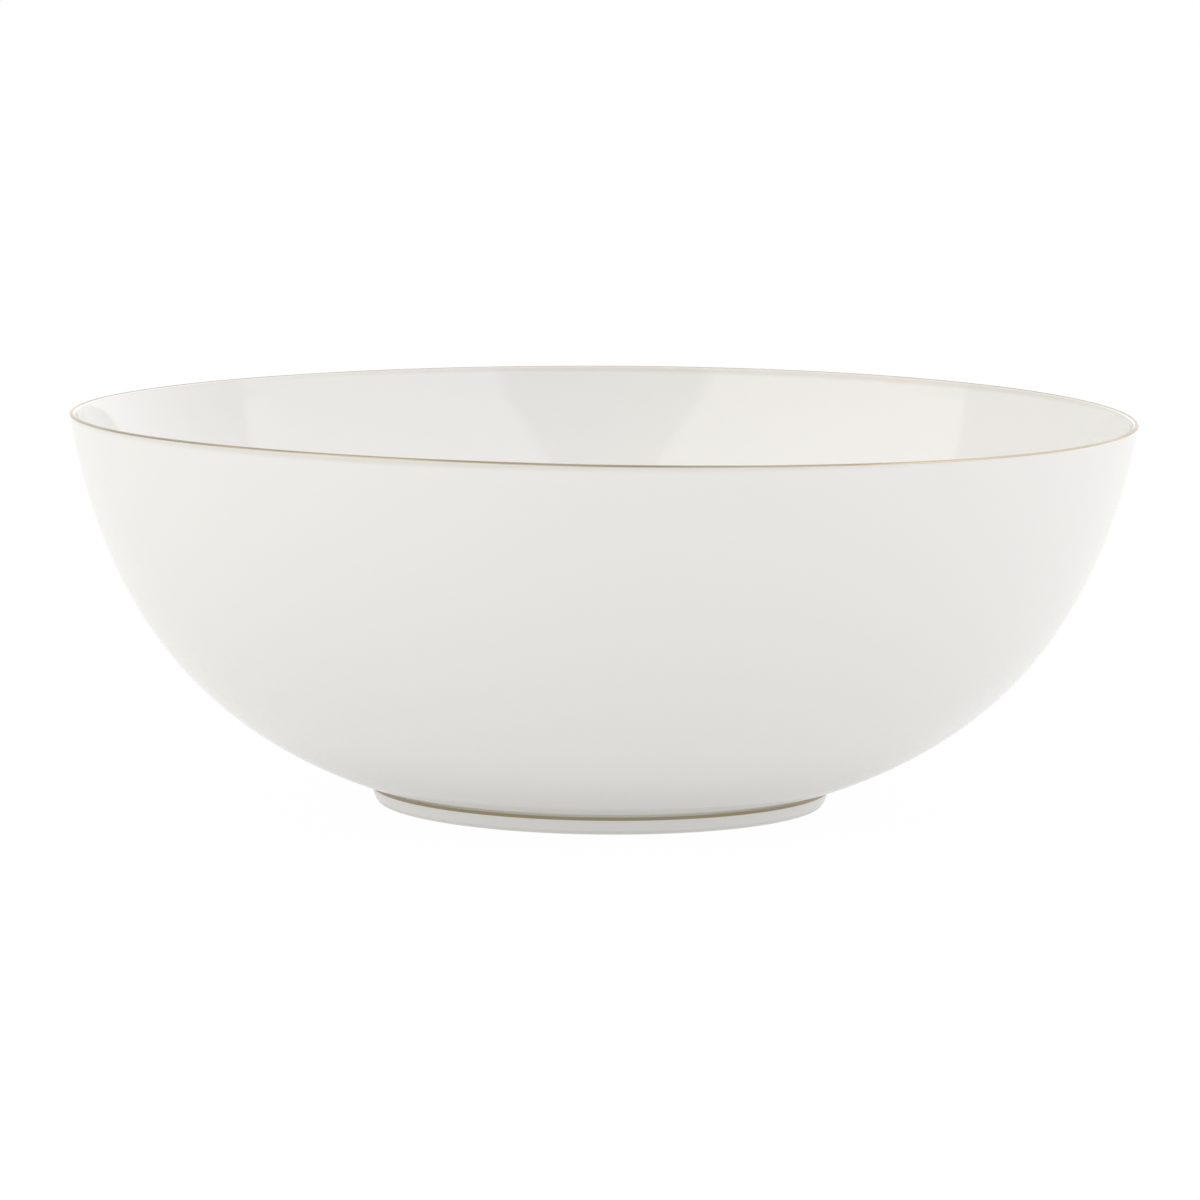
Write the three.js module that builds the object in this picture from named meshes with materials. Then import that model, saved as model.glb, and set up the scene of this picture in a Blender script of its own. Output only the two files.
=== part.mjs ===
// A round porcelain serving bowl on a low foot ring, glazed inside and out, with a fine gold
// line on the lip and another in the crease where the wall meets the foot.
// Millimetres, +Z up. The origin is the centre of the circle that the foot stands on.
//
// Every piece is a turned shape, so each one is a closed section in (radius, height), spun
// about Z. The layers of a fired bowl are fused; here each is its own solid, and a hair of
// clearance, BOND, keeps two neighbours from sharing space.
import * as THREE from "three";

// Outer shape, measured over the glaze
const RIM_DIAMETER = 254;
const BOWL_HEIGHT = 93.2; // to the crest of the lip, without the gold
const RIM_LEAN = THREE.MathUtils.degToRad(10); // how far the wall leans out at the lip
const RIM_PULL = 46; // how long the wall curve holds the lip's direction
const FOOT_SLOPE = THREE.MathUtils.degToRad(18.2); // climb of the wall just outside the foot
const FOOT_PULL = 44; // how long the wall curve holds that slope

// Thicknesses over the glaze
const LIP_THICKNESS = 1.4;
const WALL_THICKNESS = 3;
const FLOOR_THICKNESS = 4;
const GLAZE_THICKNESS = 0.25;
const BOND = 0.03;

// Foot ring, over the glaze
const FOOT_DIAMETER = 110.7; // in the crease under the wall
const FOOT_TAPER = 1.6; // how far it draws in from the crease to the edge it stands on
const FOOT_HEIGHT = 4.4; // to the crease
const FOOT_WIDTH = 4.6; // from the outside of the base to the recess
const FOOT_EDGE_RADIUS = 0.4;
const BARE_EDGE = 0.8; // the foot is wiped clean of glaze up to here
const RECESS_DEPTH = 3.4; // underside of the floor above the table
const RECESS_FILLET = 1;
const SLIP_THICKNESS = 0.4; // the seam of clay slip that fixes the ring

// Gold lines
const GOLD_THICKNESS = 0.06;
const RIM_GOLD_WIDTH = 0.95;
const RIM_GOLD_TILT = THREE.MathUtils.degToRad(24); // from the crest down the outer shoulder
const FOOT_GOLD_WIDTH = 0.8;
const FOOT_GOLD_DROP = 0.05; // below the crease

// How finely the curves are cut
const SEGMENTS = 60;
const WALL_STEPS = 9;
const LIP_STEPS = 4;
const BLEND_STEPS = 3;
const EDGE_STEPS = 2;
const FILLET_STEPS = 3;
const GOLD_STEPS = 4;
const FULL_WALL_AT = 1 / 3; // share of the wall curve over which the lip grows to full wall
const BLEND_AT = 7 / 9; // share of it after which the inside eases into the floor

const CREST = Math.PI / 2;
const SKIN = GLAZE_THICKNESS + BOND; // from the glazed surface to the biscuit under it
const at = (radius, height) => new THREE.Vector2(radius, height);

function steps(from, to, count) {
  return Array.from({ length: count + 1 }, (_, i) => from + ((to - from) * i) / count);
}

// Outside of the wall: one curve from the lip down to the crease at the foot.
const lipRadius = LIP_THICKNESS / 2;
const lipCentre = at(RIM_DIAMETER / 2 - lipRadius, BOWL_HEIGHT - lipRadius);
const wallCurve = makeWallCurve();

function makeWallCurve() {
  const lean = at(Math.sin(RIM_LEAN), Math.cos(RIM_LEAN));
  const slope = at(Math.cos(FOOT_SLOPE), Math.sin(FOOT_SLOPE));
  const top = lipPoint(-RIM_LEAN, 0);
  const crease = at(FOOT_DIAMETER / 2, FOOT_HEIGHT);
  const upperHandle = top.clone().addScaledVector(lean, -RIM_PULL);
  const lowerHandle = crease.clone().addScaledVector(slope, FOOT_PULL);
  return new THREE.CubicBezierCurve(top, upperHandle, lowerHandle, crease);
}

// A point at this angle round the lip's half circle, this deep under its surface.
function lipPoint(angle, depth) {
  const reach = lipRadius - depth;
  return at(lipCentre.x + reach * Math.cos(angle), lipCentre.y + reach * Math.sin(angle));
}

function lipArc(from, to, count, depth) {
  return steps(from, to, count).map((angle) => lipPoint(angle, depth));
}

// A point of the wall this deep under its outside; u runs from 0 at the lip to 1 at the foot.
function outerWallPoint(u, depth) {
  const along = wallCurve.getTangent(u);
  return wallCurve.getPoint(u).addScaledVector(at(-along.y, along.x), -depth);
}

function innerWallPoint(u, depth) {
  const grown = THREE.MathUtils.smoothstep(u, 0, FULL_WALL_AT);
  const thickness = THREE.MathUtils.lerp(LIP_THICKNESS, WALL_THICKNESS, grown);
  return outerWallPoint(u, thickness - depth);
}

function outerWall(depth) {
  return steps(1, 0, WALL_STEPS).map((u) => outerWallPoint(u, depth));
}

// The inside from the lip to the middle of the floor, this deep under its surface.
function inside(depth) {
  const wallSteps = Math.round(WALL_STEPS * BLEND_AT);
  const wall = steps(0, BLEND_AT, wallSteps).map((u) => innerWallPoint(u, depth));
  const floorHeight = RECESS_DEPTH + FLOOR_THICKNESS - depth;
  const start = wall[wall.length - 1];
  const along = wallCurve.getTangent(BLEND_AT);
  const run = (floorHeight - start.y) / along.y;
  const corner = start.clone().addScaledVector(along, run);
  const blend = new THREE.QuadraticBezierCurve(start, corner, at(corner.x - run, floorHeight));
  return [...wall, ...blend.getPoints(BLEND_STEPS).slice(1), at(0, floorHeight)];
}

// Radius of the foot ring's tapered outside at this height, this deep under its surface.
const baseRadius = FOOT_DIAMETER / 2 - FOOT_TAPER;

function footRadius(height, depth) {
  const rise = (height - FOOT_EDGE_RADIUS) / (FOOT_HEIGHT - FOOT_EDGE_RADIUS);
  return baseRadius + FOOT_TAPER * rise - depth;
}

// The recess under the bowl: flat, with a fillet into the upright inside of the foot ring.
const recessRadius = baseRadius - FOOT_WIDTH;

function recessArc(from, to, depth) {
  const reach = RECESS_FILLET + depth;
  const centre = at(recessRadius - RECESS_FILLET, RECESS_DEPTH - RECESS_FILLET);
  return steps(from, to, FILLET_STEPS).map((angle) =>
    at(centre.x + reach * Math.cos(angle), centre.y + reach * Math.sin(angle)),
  );
}

function recess(depth) {
  return [
    at(0, RECESS_DEPTH + depth),
    ...recessArc(CREST, 0, depth),
    at(recessRadius + depth, BARE_EDGE),
  ];
}

// The seat of the foot ring: a shallow cone on the body's underside, lowered by `drop`.
const seatInner = at(recessRadius + SKIN, RECESS_DEPTH + SKIN);
const seatOuter = outerWallPoint(1, SKIN);

function seatPoint(radius, drop) {
  const share = (radius - seatInner.x) / (seatOuter.x - seatInner.x);
  return at(radius, THREE.MathUtils.lerp(seatInner.y, seatOuter.y, share) - drop);
}

function turned(name, section, material) {
  const geometry = new THREE.LatheGeometry(section, SEGMENTS).rotateX(Math.PI / 2);
  const mesh = new THREE.Mesh(geometry, material);
  mesh.name = name;
  return mesh;
}

function closed(section) {
  return [...section, section[0].clone()];
}

// Fired clay of the wall and the floor, in one piece.
function bowlBody() {
  const section = [
    at(0, seatInner.y),
    seatInner,
    ...outerWall(SKIN),
    ...lipArc(-RIM_LEAN, CREST, LIP_STEPS, SKIN).slice(1),
    ...lipArc(CREST, Math.PI - RIM_LEAN, LIP_STEPS, SKIN).slice(1),
    ...inside(SKIN).slice(1),
  ];
  return turned("bowl_body", section, biscuit());
}

// The ring that the bowl stands on. Its base is a flat, bare face.
function footRing() {
  const edge = FOOT_EDGE_RADIUS;
  const drop = SLIP_THICKNESS + 2 * BOND;
  const baseOuter = at(baseRadius - SKIN - edge, edge);
  const baseInner = at(recessRadius + SKIN + edge, edge);
  const rounded = (centre, from) =>
    steps(from, from + CREST, EDGE_STEPS).map((angle) =>
      at(centre.x + edge * Math.cos(angle), centre.y + edge * Math.sin(angle)),
    );
  const section = [
    ...rounded(baseOuter, -CREST),
    seatPoint(footRadius(FOOT_HEIGHT - drop, SKIN), drop),
    seatPoint(seatInner.x, drop),
    ...rounded(baseInner, Math.PI),
  ];
  return turned("foot_ring", closed(section), biscuit());
}

// Clay slip between the ring and the body, smoothed into a fillet inside the ring.
function footSlipSeam() {
  const top = BOND;
  const bottom = BOND + SLIP_THICKNESS;
  const outer = footRadius(FOOT_HEIGHT - bottom, SKIN);
  const cut = Math.acos((RECESS_FILLET + GLAZE_THICKNESS) / (RECESS_FILLET + SKIN));
  const section = [
    seatPoint(outer, bottom),
    seatPoint(outer, top),
    seatPoint(seatInner.x, top),
    ...recessArc(CREST - cut, cut, SKIN),
    seatPoint(seatInner.x - BOND, bottom),
  ];
  return turned("foot_slip_seam", closed(section), biscuit());
}

// Glaze poured inside, from the middle of the floor to the crest of the lip.
function interiorGlaze() {
  const start = CREST + BOND / lipRadius; // just clear of the outside coat
  const end = Math.PI - RIM_LEAN;
  const section = [
    ...inside(GLAZE_THICKNESS).reverse(),
    ...lipArc(end, start, LIP_STEPS, GLAZE_THICKNESS).slice(1),
    ...lipArc(start, end, LIP_STEPS, 0),
    ...inside(0).slice(1),
  ];
  return turned("interior_glaze", section, glaze());
}

// Glaze outside, from the foot's bare edge over the crease and the wall to the crest.
function exteriorGlaze() {
  const hidden = GLAZE_THICKNESS;
  const footTop = FOOT_HEIGHT - SLIP_THICKNESS;
  const section = [
    at(footRadius(BARE_EDGE, 0), BARE_EDGE),
    ...outerWall(0),
    ...lipArc(-RIM_LEAN, CREST, LIP_STEPS, 0).slice(1),
    ...lipArc(CREST, -RIM_LEAN, LIP_STEPS, hidden),
    ...outerWall(hidden).reverse().slice(1),
    at(footRadius(footTop, hidden), footTop),
    at(footRadius(BARE_EDGE, hidden), BARE_EDGE),
  ];
  return turned("exterior_glaze", closed(section), glaze());
}

// Glaze under the bowl, within the foot ring.
function recessGlaze() {
  const section = [...recess(0), ...recess(GLAZE_THICKNESS).reverse()];
  return turned("recess_glaze", section, glaze());
}

// Gold fired over the glaze, from the crest of the lip down its outer shoulder.
function rimGoldLine() {
  const middle = CREST - RIM_GOLD_TILT;
  const half = RIM_GOLD_WIDTH / 2 / lipRadius;
  const section = [
    ...lipArc(middle - half, middle + half, GOLD_STEPS, -BOND - GOLD_THICKNESS),
    ...lipArc(middle + half, middle - half, GOLD_STEPS, -BOND),
  ];
  return turned("rim_gold_line", closed(section), gold());
}

// Gold fired over the glaze on the foot, just under the crease.
function footGoldLine() {
  const top = FOOT_HEIGHT - FOOT_GOLD_DROP;
  const bottom = top - FOOT_GOLD_WIDTH;
  const surface = -BOND - GOLD_THICKNESS;
  const section = [
    at(footRadius(bottom, surface), bottom),
    at(footRadius(top, surface), top),
    at(footRadius(top, -BOND), top),
    at(footRadius(bottom, -BOND), bottom),
  ];
  return turned("foot_gold_line", closed(section), gold());
}

function biscuit() {
  return new THREE.MeshStandardMaterial({ color: 0xf1eee8, roughness: 0.75, metalness: 0 });
}

function glaze() {
  return new THREE.MeshStandardMaterial({ color: 0xf6f5f2, roughness: 0.12, metalness: 0 });
}

function gold() {
  return new THREE.MeshStandardMaterial({ color: 0xb98f4e, roughness: 0.28, metalness: 1 });
}

const bowl = new THREE.Group();
bowl.name = "porcelain_serving_bowl";
bowl.add(
  bowlBody(),
  footRing(),
  footSlipSeam(),
  interiorGlaze(),
  exteriorGlaze(),
  recessGlaze(),
  rimGoldLine(),
  footGoldLine(),
);

export default bowl;
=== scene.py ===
import math

import bpy
from mathutils import Euler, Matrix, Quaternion, Vector


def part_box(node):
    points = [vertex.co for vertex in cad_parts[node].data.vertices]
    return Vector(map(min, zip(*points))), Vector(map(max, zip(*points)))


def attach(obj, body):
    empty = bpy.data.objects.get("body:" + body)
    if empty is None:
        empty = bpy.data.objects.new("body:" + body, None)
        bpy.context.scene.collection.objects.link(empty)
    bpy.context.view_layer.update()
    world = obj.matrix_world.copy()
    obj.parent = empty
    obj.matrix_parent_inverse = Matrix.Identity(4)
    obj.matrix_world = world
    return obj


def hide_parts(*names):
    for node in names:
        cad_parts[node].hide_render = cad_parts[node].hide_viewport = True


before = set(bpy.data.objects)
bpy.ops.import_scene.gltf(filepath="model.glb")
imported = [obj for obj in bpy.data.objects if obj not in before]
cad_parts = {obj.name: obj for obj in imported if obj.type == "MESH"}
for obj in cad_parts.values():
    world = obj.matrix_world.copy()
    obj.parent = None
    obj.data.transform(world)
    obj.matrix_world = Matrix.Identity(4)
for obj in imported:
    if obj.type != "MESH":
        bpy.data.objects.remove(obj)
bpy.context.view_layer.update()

# ---------------------------------------------------------------------------------------------
# Camera: a long lens a metre and a half in front of the bowl and a little above its rim,
# held with a slight roll to the right.
# ---------------------------------------------------------------------------------------------
CAMERA_BACK = 1.4674
CAMERA_HEIGHT = 0.2296
CAMERA_PITCH = 0.12300
CAMERA_YAW = 0.00035
CAMERA_ROLL = 0.0109
CAMERA_LENS = 185.4
CAMERA_SENSOR = 36.0

bpy.ops.object.select_all(action="DESELECT")
bpy.ops.object.camera_add(location=(0, -CAMERA_BACK, CAMERA_HEIGHT))
camera = bpy.context.object
camera.name = "studio_camera"
level = Euler((math.pi / 2 - CAMERA_PITCH, 0, CAMERA_YAW)).to_quaternion()
camera.rotation_euler = (level @ Quaternion((0, 0, 1), CAMERA_ROLL)).to_euler()
camera.data.lens = CAMERA_LENS
camera.data.sensor_width = CAMERA_SENSOR
camera.data.clip_start = 0.05
camera.data.clip_end = 60
bpy.context.scene.camera = camera

# ---------------------------------------------------------------------------------------------
# Clay bowl: wall and floor in one piece of white porcelain, turned on a wheel and fired. The
# rim came out of the kiln very slightly out of flat, which every layer on it follows.
# ---------------------------------------------------------------------------------------------
MM = 0.001
GLAZE_DEPTH = 0.25 * MM
SKIN_DEPTH = GLAZE_DEPTH + 0.03 * MM
LIP_THICKNESS = 1.4 * MM
WALL_THICKNESS = 3.0 * MM
FULL_WALL_AT = 1 / 3
RIM_LEAN = math.radians(10)
RIM_PULL = 46 * MM
FOOT_SLOPE = math.radians(18.2)
FOOT_PULL = 44 * MM
FLOOR_BLEND_AT = 7 / 9

rim_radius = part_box("exterior_glaze")[1].x
rim_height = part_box("exterior_glaze")[1].z
recess_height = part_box("recess_glaze")[1].z - GLAZE_DEPTH
floor_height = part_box("interior_glaze")[0].z + GLAZE_DEPTH
crease_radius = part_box("foot_gold_line")[1].x - 0.07 * MM
crease_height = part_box("foot_gold_line")[1].z + 0.05 * MM

lip_radius = LIP_THICKNESS / 2
lip_centre = Vector((rim_radius - lip_radius, rim_height - lip_radius))
UPRIGHT = math.pi / 2


def spread(first, last, count):
    """Evenly spaced values from the first to the last, both included."""
    return [first + (last - first) * i / count for i in range(count + 1)]


def lip(angle, depth):
    """Point of the lip's half circle at this angle above level, this deep in it."""
    reach = lip_radius - depth
    return lip_centre + Vector((math.cos(angle), math.sin(angle))) * reach


def lip_arc(first, last, depth, count=10):
    return [lip(angle, depth) for angle in spread(first, last, count)]


wall_top = lip(-RIM_LEAN, 0)
wall_foot = Vector((crease_radius, crease_height))
wall_curve = (
    wall_top,
    wall_top - Vector((math.sin(RIM_LEAN), math.cos(RIM_LEAN))) * RIM_PULL,
    wall_foot + Vector((math.cos(FOOT_SLOPE), math.sin(FOOT_SLOPE))) * FOOT_PULL,
    wall_foot,
)


def wall_run(u):
    """Direction of the wall's outline, from the lip (u = 0) down to the foot (u = 1)."""
    a, b, c, d = wall_curve
    v = 1 - u
    return ((b - a) * v * v + (c - b) * 2 * u * v + (d - c) * u * u).normalized()


def wall(u, depth):
    """Point of the wall at u, this deep under its outside."""
    a, b, c, d = wall_curve
    v = 1 - u
    surface = a * v**3 + b * 3 * u * v * v + c * 3 * u * u * v + d * u**3
    run = wall_run(u)
    return surface + Vector((run.y, -run.x)) * depth


def inner_wall(u, depth):
    """Point of the wall at u, this deep under its inside."""
    share = min(u / FULL_WALL_AT, 1)
    grown = share * share * (3 - 2 * share)
    thickness = LIP_THICKNESS + (WALL_THICKNESS - LIP_THICKNESS) * grown
    return wall(u, thickness - depth)


def inside(depth):
    """Outline of the inside from the lip to the middle of the floor."""
    points = [inner_wall(u, depth) for u in spread(0, FLOOR_BLEND_AT, 36)]
    floor = floor_height - depth
    start, run = points[-1], wall_run(FLOOR_BLEND_AT)
    length = (floor - start.y) / run.y
    corner = start + run * length
    end = Vector((corner.x - length, floor))
    for t in spread(0, 1, 10)[1:]:
        points.append(start * (1 - t) ** 2 + corner * 2 * t * (1 - t) + end * t * t)
    return points + [Vector((end.x * share, floor)) for share in (0.66, 0.33, 0)]


TURN_STEPS = 240
WARP_RISE = 0.605 * MM
WARP_TURN = math.radians(19.15)

# A rim that left the kiln out of flat: two opposite quarters high, the other two low.
bpy.ops.object.select_all(action="DESELECT")
cage_side, cage_height = 2.06 * rim_radius, 1.08 * rim_height
bpy.ops.object.add(type="LATTICE", location=(0, 0, cage_height / 2), rotation=(0, 0, WARP_TURN))
kiln_warp = bpy.context.object
kiln_warp.name = "kiln_warp"
kiln_warp.scale = (cage_side, cage_side, cage_height)
kiln_warp.data.interpolation_type_u = "KEY_LINEAR"
kiln_warp.data.interpolation_type_v = "KEY_LINEAR"
kiln_warp.data.interpolation_type_w = "KEY_LINEAR"
corner_rise = 2 * WARP_RISE * (cage_side / 2 / rim_radius) ** 2 * cage_height / rim_height
for point in kiln_warp.data.points:
    if point.co.z > 0:
        side = 1 if point.co.x * point.co.y > 0 else -1
        point.co_deform.z = point.co.z + side * corner_rise / cage_height


def turn(name, section, closed, smooth_up_to=math.radians(40)):
    """Turns a half section (radius, height) about the bowl's axis and lets the kiln warp it."""
    bpy.ops.object.select_all(action="DESELECT")
    bpy.ops.curve.primitive_bezier_curve_add(location=(0, 0, 0))
    piece = bpy.context.object
    piece.name = name
    outline = piece.data.splines[0]
    outline.type = "POLY"
    outline.points.add(len(section) - len(outline.points))
    for point, (radius, height) in zip(outline.points, section):
        point.co = (radius, 0, height, 1)
    outline.use_cyclic_u = closed
    bpy.ops.object.convert(target="MESH")
    piece = bpy.context.object
    bpy.ops.object.mode_set(mode="EDIT")
    bpy.ops.mesh.select_all(action="SELECT")
    bpy.ops.mesh.spin(steps=TURN_STEPS, angle=2 * math.pi, center=(0, 0, 0), axis=(0, 0, 1))
    bpy.ops.mesh.select_all(action="SELECT")
    bpy.ops.mesh.remove_doubles(threshold=0.002 * MM)
    bpy.ops.mesh.normals_make_consistent(inside=False)
    bpy.ops.object.mode_set(mode="OBJECT")
    bpy.ops.object.shade_smooth_by_angle(angle=smooth_up_to)
    bend = piece.modifiers.new("kiln_warp", "LATTICE")
    bend.object = kiln_warp
    bpy.ops.object.modifier_apply(modifier=bend.name)
    return piece


class Value:
    """One output of a finish's nodes. Sums written with it add their Math nodes."""

    def __init__(self, finish, socket):
        self.finish = finish
        self.socket = socket

    def sum(self, operation, first, second):
        return self.finish.node("ShaderNodeMath", {"operation": operation}, {0: first, 1: second})

    def __add__(self, other):
        return self.sum("ADD", self, other)

    def __mul__(self, other):
        return self.sum("MULTIPLY", self, other)

    def __sub__(self, other):
        return self.sum("SUBTRACT", self, other)

    def __rsub__(self, other):
        return self.sum("SUBTRACT", other, self)

    __radd__ = __add__
    __rmul__ = __mul__


class Finish:
    """A material of this bowl, built from nodes on the piece's own coordinates."""

    def __init__(self, name):
        self.material = bpy.data.materials.new(name)
        self.material.use_nodes = True
        self.nodes = self.material.node_tree.nodes
        self.links = self.material.node_tree.links
        self.shader = self.nodes["Principled BSDF"]
        place = self.nodes.new("ShaderNodeTexCoord").outputs["Object"]
        self.place = Value(self, place)
        axes = self.nodes.new("ShaderNodeSeparateXYZ")
        self.links.new(place, axes.inputs[0])
        self.x, self.y, self.height = [Value(self, axis) for axis in axes.outputs]
        squares = self.x * self.x + self.y * self.y
        self.radius = squares.sum("POWER", squares, 0.5)

    def node(self, kind, settings=None, sockets=None, output=0):
        """Adds a node, makes its settings, then fills or links its sockets."""
        made = self.nodes.new(kind)
        for name, value in (settings or {}).items():
            setattr(made, name, value)
        for name, value in (sockets or {}).items():
            self.put(made.inputs[name], value)
        return Value(self, made.outputs[output])

    def put(self, socket, value):
        if isinstance(value, Value):
            self.links.new(value.socket, socket)
        else:
            socket.default_value = value

    def set(self, **sockets):
        """Fills or links the shader's own sockets; an underline stands for a space."""
        for name, value in sockets.items():
            self.put(self.shader.inputs[name.replace("_", " ")], value)

    def clouds(self, scale, detail=2.0, roughness=0.5, place=None):
        """Soft noise from 0 to 1, with this many features to the metre."""
        sockets = {
            "Vector": place or self.place,
            "Scale": scale,
            "Detail": detail,
            "Roughness": roughness,
        }
        return self.node("ShaderNodeTexNoise", {"noise_dimensions": "3D"}, sockets)

    def step(self, value, low, high):
        """0 below low and 1 above high, with a smooth change between them."""
        sockets = {"Value": value, "From Min": low, "From Max": high}
        return self.node("ShaderNodeMapRange", {"interpolation_type": "SMOOTHSTEP"}, sockets)

    def blend(self, share, first, second):
        """Colour between two colours."""
        sockets = {0: share, 6: first, 7: second}
        return self.node("ShaderNodeMix", {"data_type": "RGBA"}, sockets, output=2)

    def vector(self, x, y, z):
        return self.node("ShaderNodeCombineXYZ", None, {0: x, 1: y, 2: z})

    def relief(self, height, depth, under=None):
        """Bump of this depth in metres for a height from 0 to 1."""
        sockets = {"Strength": 1.0, "Distance": depth, "Height": height}
        if under:
            sockets["Normal"] = under
        return self.node("ShaderNodeBump", None, sockets)


BISCUIT_WHITE = (0.80, 0.785, 0.752, 1)
BISCUIT_GREY = (0.735, 0.718, 0.684, 1)
BISCUIT_SCUFF = (0.42, 0.41, 0.39, 1)

biscuit = Finish("biscuit")
grain = biscuit.clouds(1400, detail=4)
mottle = biscuit.clouds(160, detail=3)
rings_at = biscuit.vector(biscuit.radius * 5200, biscuit.height * 5200, biscuit.x * 12)
rings = biscuit.clouds(1.0, detail=2, place=rings_at)
scuffs = biscuit.step(biscuit.clouds(420, detail=5, roughness=0.7), 0.6, 0.72)
ground_face = 1 - biscuit.step(biscuit.height, 0.05 * MM, 0.5 * MM)
clay_tone = biscuit.blend(mottle, BISCUIT_WHITE, BISCUIT_GREY)
biscuit.set(
    Base_Color=biscuit.blend(scuffs * ground_face * 0.35, clay_tone, BISCUIT_SCUFF),
    Roughness=0.68 + grain * 0.16 - ground_face * 0.12,
    Normal=biscuit.relief(rings, 0.02 * MM, biscuit.relief(grain, 0.03 * MM)),
)

recess_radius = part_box("recess_glaze")[1].x - GLAZE_DEPTH
seat_inner = Vector((recess_radius + SKIN_DEPTH, recess_height + SKIN_DEPTH))
seat_outer = wall(1, SKIN_DEPTH)
clay_outline = [Vector((0, seat_inner.y)), seat_inner]
clay_outline += [wall(u, SKIN_DEPTH) for u in spread(1, 0, 44)]
clay_outline += lip_arc(-RIM_LEAN, math.pi - RIM_LEAN, SKIN_DEPTH, 16)[1:]
clay_outline += inside(SKIN_DEPTH)[1:]
clay_bowl = turn("clay_bowl", clay_outline, closed=False)
clay_bowl.data.materials.append(biscuit.material)
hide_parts("bowl_body")
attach(clay_bowl, "root")

# ---------------------------------------------------------------------------------------------
# Foot ring: a low turned ring of the same clay under the bowl. Its base is wiped clean of
# glaze and rubbed flat, so it stands on a narrow ring of bare biscuit.
# ---------------------------------------------------------------------------------------------
FOOT_TAPER = 1.6 * MM
FOOT_EDGE = 0.4 * MM
SLIP_DEPTH = 0.4 * MM
HAIR = 0.03 * MM

base_radius = crease_radius - FOOT_TAPER


def foot_side(height, depth):
    """Point of the foot's tapered outside at this height, this deep in it."""
    rise = (height - FOOT_EDGE) / (crease_height - FOOT_EDGE)
    return Vector((base_radius + FOOT_TAPER * rise - depth, height))


def seat(radius, drop):
    """Point of the shallow cone that the ring is fixed to, lowered by drop."""
    share = (radius - seat_inner.x) / (seat_outer.x - seat_inner.x)
    return Vector((radius, seat_inner.y + (seat_outer.y - seat_inner.y) * share - drop))


def arc(centre, reach, first, last, count=8):
    return [
        centre + Vector((math.cos(angle), math.sin(angle))) * reach
        for angle in spread(first, last, count)
    ]


ring_drop = SLIP_DEPTH + 2 * HAIR
base_outer = Vector((base_radius - SKIN_DEPTH - FOOT_EDGE, FOOT_EDGE))
base_inner = Vector((recess_radius + SKIN_DEPTH + FOOT_EDGE, FOOT_EDGE))
ring_outline = arc(base_outer, FOOT_EDGE, -UPRIGHT, 0)
ring_outline += [
    seat(foot_side(crease_height - ring_drop, SKIN_DEPTH).x, ring_drop),
    seat(seat_inner.x, ring_drop),
]
ring_outline += arc(base_inner, FOOT_EDGE, math.pi, math.pi + UPRIGHT)
clay_foot_ring = turn("clay_foot_ring", ring_outline, closed=True)
clay_foot_ring.data.materials.append(biscuit.material)
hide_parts("foot_ring")
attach(clay_foot_ring, "root")

# ---------------------------------------------------------------------------------------------
# Slip seam: liquid clay that fixes the ring to the bowl, smoothed with a wet finger into a
# fillet inside the ring and fired hard with both.
# ---------------------------------------------------------------------------------------------
RECESS_FILLET = 1.0 * MM

fillet_centre = Vector((recess_radius - RECESS_FILLET, recess_height - RECESS_FILLET))
slip_outer = foot_side(crease_height - HAIR - SLIP_DEPTH, SKIN_DEPTH).x
fillet_cut = math.acos((RECESS_FILLET + GLAZE_DEPTH) / (RECESS_FILLET + SKIN_DEPTH))
slip_outline = [
    seat(slip_outer, HAIR + SLIP_DEPTH),
    seat(slip_outer, HAIR),
    seat(seat_inner.x, HAIR),
]
slip_outline += arc(
    fillet_centre, RECESS_FILLET + SKIN_DEPTH, UPRIGHT - fillet_cut, fillet_cut
)
slip_outline.append(seat(seat_inner.x - HAIR, HAIR + SLIP_DEPTH))
slip_seam = turn("slip_seam", slip_outline, closed=True)
slip_seam.data.materials.append(biscuit.material)
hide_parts("foot_slip_seam")
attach(slip_seam, "root")

# ---------------------------------------------------------------------------------------------
# Inside glaze: a glassy white coat, poured in and swirled up to the crest of the lip, where it
# meets the outside coat. It lies a little thinner over the edge.
# ---------------------------------------------------------------------------------------------
GLAZE_WHITE = (0.800, 0.785, 0.757, 1)
GLAZE_COOL = (0.775, 0.770, 0.755, 1)
GLAZE_CREASE_SHADE = (0.625, 0.617, 0.590, 1)
GLAZE_THIN = (0.680, 0.650, 0.600, 1)
CREASE_SHADE_REACH = 38 * MM
CREASE_SHADE_SHARE = 0.9

glaze = Finish("white_glaze")
drift = glaze.clouds(16, detail=2)
ripple = glaze.clouds(55, detail=1.5)
peel = glaze.clouds(420, detail=2)
near_lip = glaze.step(glaze.height, rim_height - 1.6 * MM, rim_height - 0.2 * MM)
# Painted shade: the glaze colour darkens on the outside lower wall towards the crease with the foot
# ring, where shade falls.
climb = wall(0.75, 0) - wall_foot
curl = (climb.y - climb.x * math.tan(FOOT_SLOPE)) / climb.x**2
out = glaze.radius - crease_radius
above_wall = glaze.height - crease_height - out * math.tan(FOOT_SLOPE) - out * out * curl
on_outside = 1 - glaze.step(above_wall, 1.3 * MM, 2.4 * MM)
past_crease = glaze.step(out, -0.3 * MM, 0.1 * MM)
crease_shade = (1 - glaze.step(out, 0, CREASE_SHADE_REACH)) * past_crease * on_outside
glaze_tone = glaze.blend(drift, GLAZE_WHITE, GLAZE_COOL)
glaze_tone = glaze.blend(near_lip * 0.8, glaze_tone, GLAZE_THIN)
glaze_tone = glaze.blend(crease_shade * CREASE_SHADE_SHARE, glaze_tone, GLAZE_CREASE_SHADE)
glaze.set(
    Base_Color=glaze_tone,
    Roughness=0.055 + ripple * 0.03 + near_lip * 0.05,
    Normal=glaze.relief(ripple, 0.05 * MM, glaze.relief(peel, 0.002 * MM)),
    IOR=1.5,
)

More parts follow.
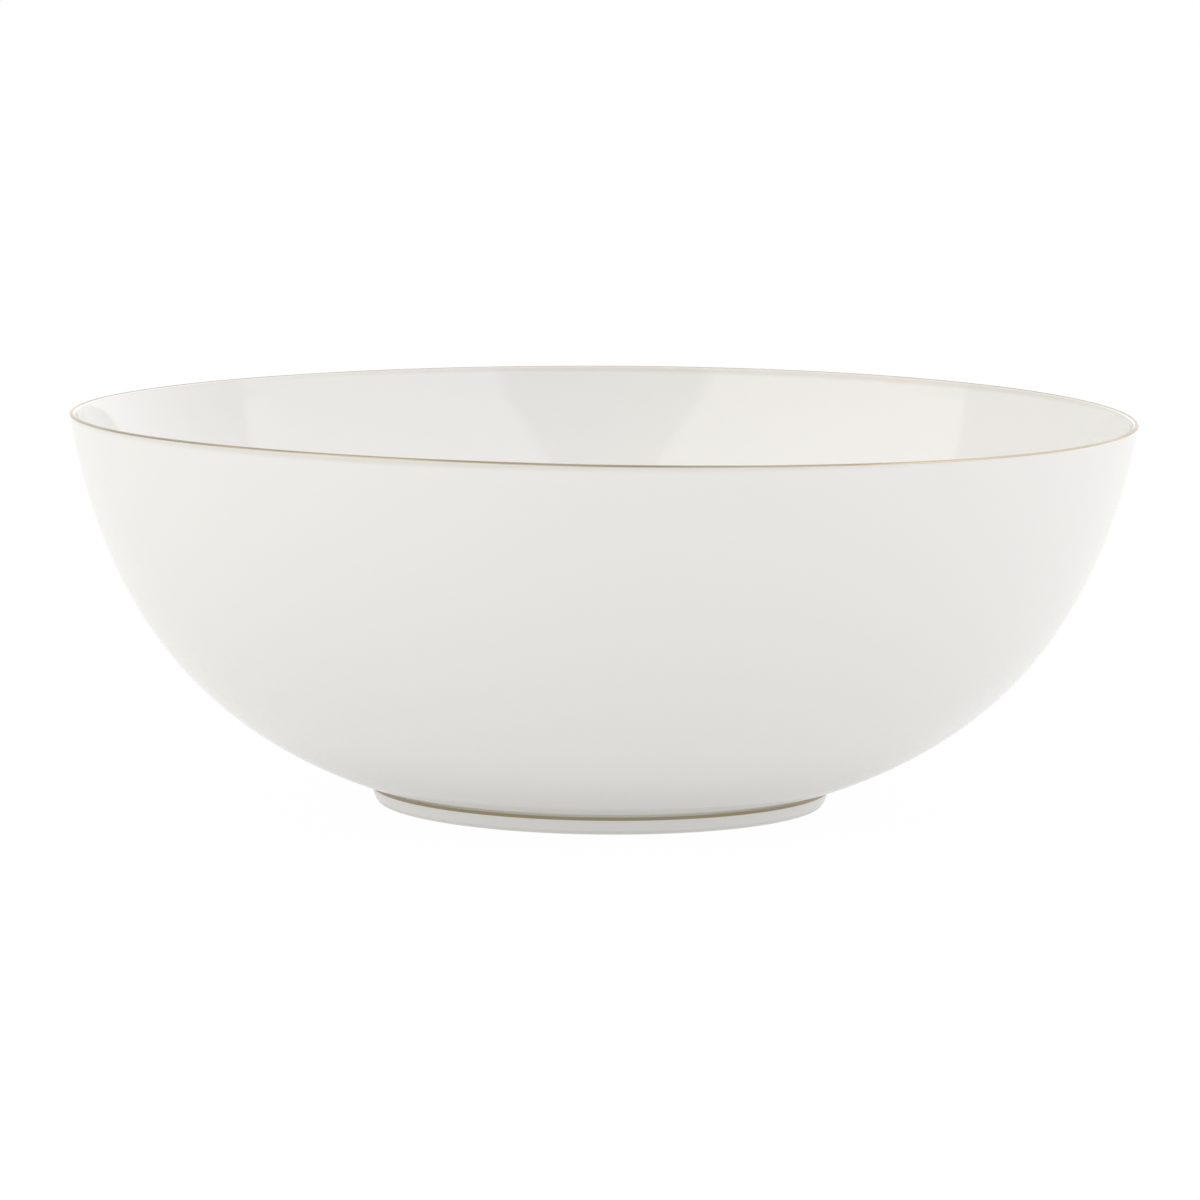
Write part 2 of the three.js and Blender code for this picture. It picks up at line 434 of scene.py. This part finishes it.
crest_gap = HAIR / lip_radius
inner_crest = UPRIGHT + crest_gap
glaze_outline = list(reversed(inside(GLAZE_DEPTH)))
glaze_outline += lip_arc(math.pi - RIM_LEAN, inner_crest, GLAZE_DEPTH, 12)[1:]
glaze_outline += lip_arc(inner_crest, math.pi - RIM_LEAN, 0, 12)
glaze_outline += inside(0)[1:]
glaze_inside = turn("glaze_inside", glaze_outline, closed=False)
glaze_inside.data.materials.append(glaze.material)
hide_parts("interior_glaze")
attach(glaze_inside, "root")

# ---------------------------------------------------------------------------------------------
# Outside glaze: the same glassy coat from the crest of the lip, down the wall, where it pools
# into a small fillet at the crease, to a rolled edge just above the bare foot. Its colour
# darkens towards the crease as painted shade.
# ---------------------------------------------------------------------------------------------
BARE_EDGE = 0.8 * MM
POOL_REACH = 0.35 * MM

rolled = arc(foot_side(BARE_EDGE + GLAZE_DEPTH / 2, GLAZE_DEPTH / 2), GLAZE_DEPTH / 2, -UPRIGHT, 0)
pool_start = foot_side(crease_height - POOL_REACH, 0)
pool_end = wall_foot - wall_run(1) * POOL_REACH
pooled = [
    pool_start * (1 - t) ** 2 + wall_foot * 2 * t * (1 - t) + pool_end * t * t
    for t in spread(0, 1, 6)
]
foot_outline = rolled + [foot_side(h, 0) for h in spread(1.2 * MM, 3.8 * MM, 6)] + pooled
outer_outline = list(foot_outline)
outer_outline += [wall(u, 0) for u in spread(1, 0, 44) if wall(u, 0).x > pool_end.x]
outer_outline += lip_arc(-RIM_LEAN, UPRIGHT, 0, 14)[1:]
outer_outline += lip_arc(UPRIGHT, -RIM_LEAN, GLAZE_DEPTH, 14)
outer_outline += [wall(u, GLAZE_DEPTH) for u in spread(0, 1, 44)][1:]
outer_outline += [foot_side(crease_height - SLIP_DEPTH, GLAZE_DEPTH)]
outer_outline += [foot_side(BARE_EDGE + 0.2 * MM, GLAZE_DEPTH)]
glaze_outside = turn("glaze_outside", outer_outline, closed=True)
glaze_outside.data.materials.append(glaze.material)
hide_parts("exterior_glaze")
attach(glaze_outside, "root")

# ---------------------------------------------------------------------------------------------
# Glaze under the floor: the coat in the shallow recess that the foot ring closes in, from the
# middle over the fillet and down the inside of the ring to its bare edge.
# ---------------------------------------------------------------------------------------------


def recess(depth):
    """Outline of the recess from the middle to the bare edge, this deep in the coat."""
    points = [Vector((fillet_centre.x * share, recess_height + depth)) for share in (0, 0.33, 0.66)]
    points += arc(fillet_centre, RECESS_FILLET + depth, UPRIGHT, 0, 10)
    return points


edge_of_coat = Vector((recess_radius + GLAZE_DEPTH / 2, BARE_EDGE + GLAZE_DEPTH / 2))
recess_outline = recess(0)
recess_outline += arc(edge_of_coat, GLAZE_DEPTH / 2, math.pi, 2 * math.pi)
recess_outline += list(reversed(recess(GLAZE_DEPTH)))
glaze_under_floor = turn("glaze_under_floor", recess_outline, closed=False)
glaze_under_floor.data.materials.append(glaze.material)
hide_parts("recess_glaze")
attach(glaze_under_floor, "root")

# ---------------------------------------------------------------------------------------------
# Gold line on the lip, from its crest down the outer shoulder: liquid gold laid with a fine
# brush while the bowl turned on a banding wheel, then fired on. It wavers a little, as a hand
# does, in width and strength.
# ---------------------------------------------------------------------------------------------
GOLD_FILM = 0.03 * MM
GOLD_BRIGHT = (0.56, 0.48, 0.36, 1)
GOLD_DEEP = (0.37, 0.31, 0.225, 1)
GOLD_FOOT_SHADED = (0.35, 0.285, 0.18, 1)
LIP_GOLD_WIDTH = 0.95 * MM
LIP_GOLD_TILT = math.radians(24)

gold = Finish("fired_gold")
strokes_at = gold.vector(gold.x * 22, gold.y * 22, (gold.height - gold.radius) * 2600)
strokes = gold.clouds(1.0, detail=3, place=strokes_at)
load_of_brush = gold.clouds(26, detail=2)
fine = gold.clouds(2200, detail=2)
thin_patches = gold.step(load_of_brush * 0.7 + strokes * 0.5, 0.42, 0.82)
# Painted shade: the gold colour darkens from the rim down to the foot, so the foot line is a shaded
# copy of the lip's gold.
foot_shade_share = 1 - gold.step(gold.height, crease_height, rim_height)
film = gold.blend(thin_patches, GOLD_DEEP, GOLD_BRIGHT)
gold.set(
    Base_Color=gold.blend(foot_shade_share * 0.85, film, GOLD_FOOT_SHADED),
    Metallic=1.0,
    Roughness=0.24 + strokes * 0.12 + fine * 0.06,
    Normal=gold.relief(strokes, 0.004 * MM, gold.relief(fine, 0.002 * MM)),
)


def waver(angle, lobes):
    """A hand's slow waver round the line, from the strength, lobes and phase of each swing."""
    return sum(strength * math.sin(count * angle + phase) for strength, count, phase in lobes)


gold_middle = UPRIGHT - LIP_GOLD_TILT
gold_half = LIP_GOLD_WIDTH / 2 / lip_radius
lip_gold_outline = lip_arc(gold_middle - gold_half, gold_middle + gold_half, -HAIR - GOLD_FILM, 14)
lip_gold_outline += lip_arc(gold_middle + gold_half, gold_middle - gold_half, -HAIR / 2, 14)
gold_lip_line = turn("gold_lip_line", lip_gold_outline, closed=True)
WIDTH_WAVER = ((0.05, 3, 0.4), (0.04, 8, 1.9), (0.035, 19, 0.7), (0.02, 41, 2.6))
PLACE_WAVER = ((0.018, 2, 1.1), (0.014, 5, 0.2), (0.008, 23, 1.4))
for vertex in gold_lip_line.data.vertices:
    turned = math.atan2(vertex.co.y, vertex.co.x)
    around = Vector((math.cos(turned), math.sin(turned), 0))
    bow = WARP_RISE * math.sin(2 * (turned - WARP_TURN)) * vertex.co.z / rim_height
    out = vertex.co.dot(around) - lip_centre.x
    up = vertex.co.z - bow - lip_centre.y
    reach = math.hypot(out, up)
    angle = math.atan2(up, out)
    angle = gold_middle + (angle - gold_middle) * (1 + waver(turned, WIDTH_WAVER))
    angle += waver(turned, PLACE_WAVER)
    vertex.co = around * (lip_centre.x + reach * math.cos(angle))
    vertex.co.z = lip_centre.y + reach * math.sin(angle) + bow
gold_lip_line.data.materials.append(gold.material)
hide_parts("rim_gold_line")
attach(gold_lip_line, "root")

# ---------------------------------------------------------------------------------------------
# Gold line on the foot: a second banded line on the foot's side, close under the crease,
# fired on with the first. Its gold is drawn darker than the lip's, as painted shade.
# ---------------------------------------------------------------------------------------------
FOOT_GOLD_WIDTH = 0.8 * MM


def lifted(points, rise):
    """The same outline, moved straight out from its surface."""
    moved = []
    for i, point in enumerate(points):
        run = (points[min(i + 1, len(points) - 1)] - points[max(i - 1, 0)]).normalized()
        moved.append(point + Vector((run.y, -run.x)) * rise)
    return moved


gold_top = crease_height - 0.05 * MM
gold_bottom = gold_top - FOOT_GOLD_WIDTH
band = [foot_side(h, 0) for h in spread(gold_bottom, crease_height - POOL_REACH, 4)]
band += [point for point in pooled[1:] if point.y < gold_top]
foot_gold_outline = lifted(band, HAIR / 2 + GOLD_FILM) + list(reversed(lifted(band, HAIR / 2)))
gold_foot_line = turn("gold_foot_line", foot_gold_outline, closed=True)
gold_foot_line.data.materials.append(gold.material)
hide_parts("foot_gold_line")
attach(gold_foot_line, "root")

bpy.data.objects.remove(kiln_warp)

# ---------------------------------------------------------------------------------------------
# Room: a wide white table top and plain pale walls, brightest behind the bowl, with one large
# soft light to the left and one to the right. Seen directly, table and walls are plain white.
# ---------------------------------------------------------------------------------------------
TABLE_RADIUS = 20.0
TABLE_BOUNCE = (0.25, 0.25, 0.25, 1)
TABLE_GLOW = (0.66, 0.66, 0.65, 1)
TABLE_GLOW_PAINTED_SHADOW = (0.61, 0.61, 0.60, 1)
TABLE_SHADOW = 0.04

bpy.ops.object.select_all(action="DESELECT")
bpy.ops.mesh.primitive_circle_add(vertices=96, radius=TABLE_RADIUS, fill_type="NGON")
table_top = bpy.context.object
table_top.name = "table_top"
table = Finish("table_white")
# The table top glows as a stand-in for light bounced off it. The glow is dimmer under the bowl, as
# a painted shadow of the bowl.
outside_painted_shadow = table.step(table.radius, 0.9 * crease_radius, 1.3 * rim_radius)
glow_with_painted_shadow = table.blend(outside_painted_shadow, TABLE_GLOW_PAINTED_SHADOW, TABLE_GLOW)
table.set(Base_Color=TABLE_BOUNCE, Roughness=1.0, Emission_Color=glow_with_painted_shadow, Emission_Strength=1.0)
lit_table = Value(table, table.shader.outputs[0])
white_table = table.node("ShaderNodeEmission", None, {"Color": (1, 1, 1, 1), "Strength": 1.0})
seen_directly = table.node("ShaderNodeLightPath") * (1 - TABLE_SHADOW)
shown_table = table.node(
    "ShaderNodeMixShader", None, {0: seen_directly, 1: lit_table, 2: white_table}
)
table.links.new(shown_table.socket, table.nodes["Material Output"].inputs["Surface"])
table_top.data.materials.append(table.material)


def direction(azimuth, elevation):
    """Unit vector from the bowl; azimuth turns from the camera's side to the right."""
    turned, rise = math.radians(azimuth), math.radians(elevation)
    flat = Vector((math.sin(turned), -math.cos(turned), 0)) * math.cos(rise)
    return flat + Vector((0, 0, math.sin(rise)))


LIGHT_DISTANCE = 2.6
LIGHT_ELEVATION = 38
LIGHT_SIZE = (3.4, 2.1)

for name, azimuth, watts, colour in (
    ("soft_light_left", -60, 28, (1.0, 0.98, 0.92)),
    ("soft_light_right", 60, 25, (0.97, 0.97, 1.0)),
):
    place = direction(azimuth, LIGHT_ELEVATION) * LIGHT_DISTANCE
    facing = place.to_track_quat("Z", "Y").to_euler()
    bpy.ops.object.light_add(type="AREA", location=place, rotation=facing)
    soft_light = bpy.context.object
    soft_light.name = name
    soft_light.data.shape = "RECTANGLE"
    soft_light.data.size, soft_light.data.size_y = LIGHT_SIZE
    soft_light.data.energy = watts
    soft_light.data.color = colour

WALL_WHITE = (0.45, 0.45, 0.45, 1)
WALL_GLOWS = (
    ("backdrop", 160, 20, 0.9),
    ("left_wall", -80, 20, 0.4),
    ("right_wall", 90, 20, 0.25),
)
GLOW_EDGE = 0.2

walls = bpy.data.worlds.new("studio_walls")
bpy.context.scene.world = walls
walls.use_nodes = True
parts = walls.node_tree.nodes
wires = walls.node_tree.links
looking = parts.new("ShaderNodeTexCoord").outputs["Generated"]
total = parts.new("ShaderNodeRGB").outputs[0]
total.default_value = WALL_WHITE
for wall_name, azimuth, elevation, strength in WALL_GLOWS:
    towards = parts.new("ShaderNodeVectorMath")
    towards.operation = "DOT_PRODUCT"
    wires.new(looking, towards.inputs[0])
    towards.inputs[1].default_value = direction(azimuth, elevation)
    share = parts.new("ShaderNodeMapRange")
    share.interpolation_type = "SMOOTHSTEP"
    share.inputs["From Min"].default_value = GLOW_EDGE
    wires.new(towards.outputs["Value"], share.inputs["Value"])
    glow = parts.new("ShaderNodeVectorMath")
    glow.operation = "MULTIPLY_ADD"
    glow.name = wall_name
    wires.new(share.outputs[0], glow.inputs[0])
    glow.inputs[1].default_value = (strength, strength, strength)
    wires.new(total, glow.inputs[2])
    total = glow.outputs[0]
shown_walls = parts.new("ShaderNodeMix")
shown_walls.data_type = "RGBA"
wires.new(parts.new("ShaderNodeLightPath").outputs["Is Camera Ray"], shown_walls.inputs[0])
wires.new(total, shown_walls.inputs[6])
shown_walls.inputs[7].default_value = (1, 1, 1, 1)
wires.new(shown_walls.outputs[2], parts["Background"].inputs["Color"])

bpy.context.scene.view_settings.view_transform = "Standard"
